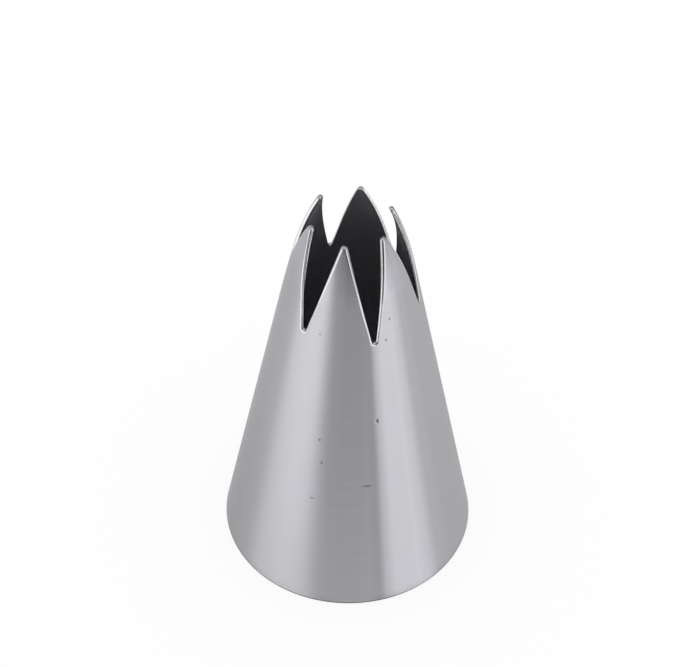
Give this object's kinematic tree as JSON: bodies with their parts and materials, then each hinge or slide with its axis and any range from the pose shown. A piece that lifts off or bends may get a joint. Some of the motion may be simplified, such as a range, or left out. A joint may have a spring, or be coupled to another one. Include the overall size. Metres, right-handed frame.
{
  "type": "piping nozzle",
  "caption": "Seamless open star piping nozzle: a tapered sheet steel cone, wide end down, whose teeth bend in over a star-shaped outlet.",
  "frame": {"origin": "centre of the wide end's rim, on the plane that the nozzle stands on", "axes": "+Z along the nozzle's axis, towards the star outlet; -Y through the middle of one tooth"},
  "size_m": [0.025, 0.025, 0.044],
  "materials": {
    "stainless_steel": "drawn and tumbled stainless sheet, a soft satin shine with faint marks round the wall"
  },
  "bodies": {
    "root": {"nozzle_body": "stainless_steel"}
  },
  "joints": []
}
